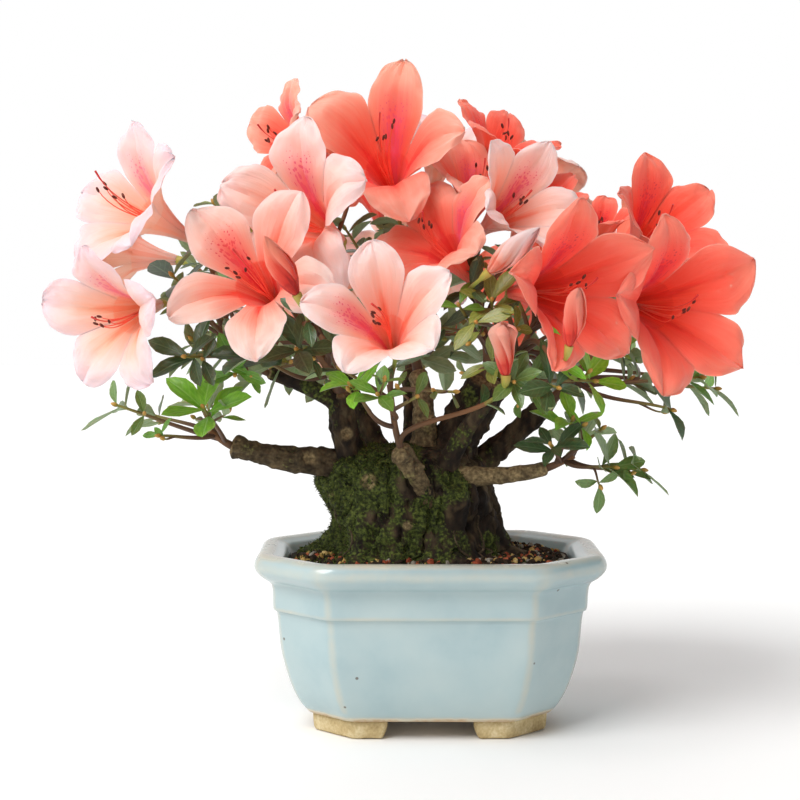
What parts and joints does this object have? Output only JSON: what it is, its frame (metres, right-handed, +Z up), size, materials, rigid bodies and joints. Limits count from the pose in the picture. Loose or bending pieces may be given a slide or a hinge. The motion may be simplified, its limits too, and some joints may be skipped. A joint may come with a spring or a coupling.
{
  "type": "azalea bonsai in a glazed pot",
  "caption": "Small flowering azalea bonsai with a stout mossy trunk, spreading boughs, leafy twigs and coral and pale pink blossom, in an octagonal blue glazed pot on clay feet.",
  "frame": {"origin": "on the table, under the middle of the whole object's box", "axes": "+Z up, +X to the right and -Y to the front as the picture shows the plant"},
  "size_m": [0.2646, 0.2216, 0.2672],
  "materials": {
    "glaze": "glossy pale blue glaze, thinner and creamy on the edges",
    "bare_clay": "unglazed fired clay",
    "potting_soil": "moist clay granules with moss",
    "bark": "rough bark with moss",
    "leaves": "satin leaves",
    "pale_pink_blossom": "soft petals",
    "coral_blossom": "soft petals"
  },
  "bodies": {
    "root": {"pot_body": "glaze", "pot_foot_front_left": "bare_clay", "pot_foot_back_left": "bare_clay", "pot_foot_front_right": "bare_clay", "pot_foot_back_right": "bare_clay", "soil": "potting_soil", "trunk": "bark", "bough_left_low": "bark", "bough_left_upright": "bark", "bough_left_branch": "bark", "bough_centre": "bark", "bough_front_stub": "bark", "bough_right_upright": "bark", "bough_right_inner": "bark", "bough_right_back": "bark", "bough_right_low": "bark", "bough_back_left": "bark", "bough_back_centre": "bark", "bough_back_right": "bark", "foliage_left_low": "leaves", "foliage_right_low": "leaves", "blossom_left": "pale_pink_blossom", "blossom_left_front": "pale_pink_blossom", "blossom_front": "pale_pink_blossom", "blossom_back_left": "pale_pink_blossom", "blossom_back_centre": "pale_pink_blossom", "blossom_top": "coral_blossom", "blossom_centre": "coral_blossom", "blossom_right_front": "coral_blossom", "blossom_far_right": "coral_blossom", "blossom_back_right": "coral_blossom"}
  },
  "joints": []
}
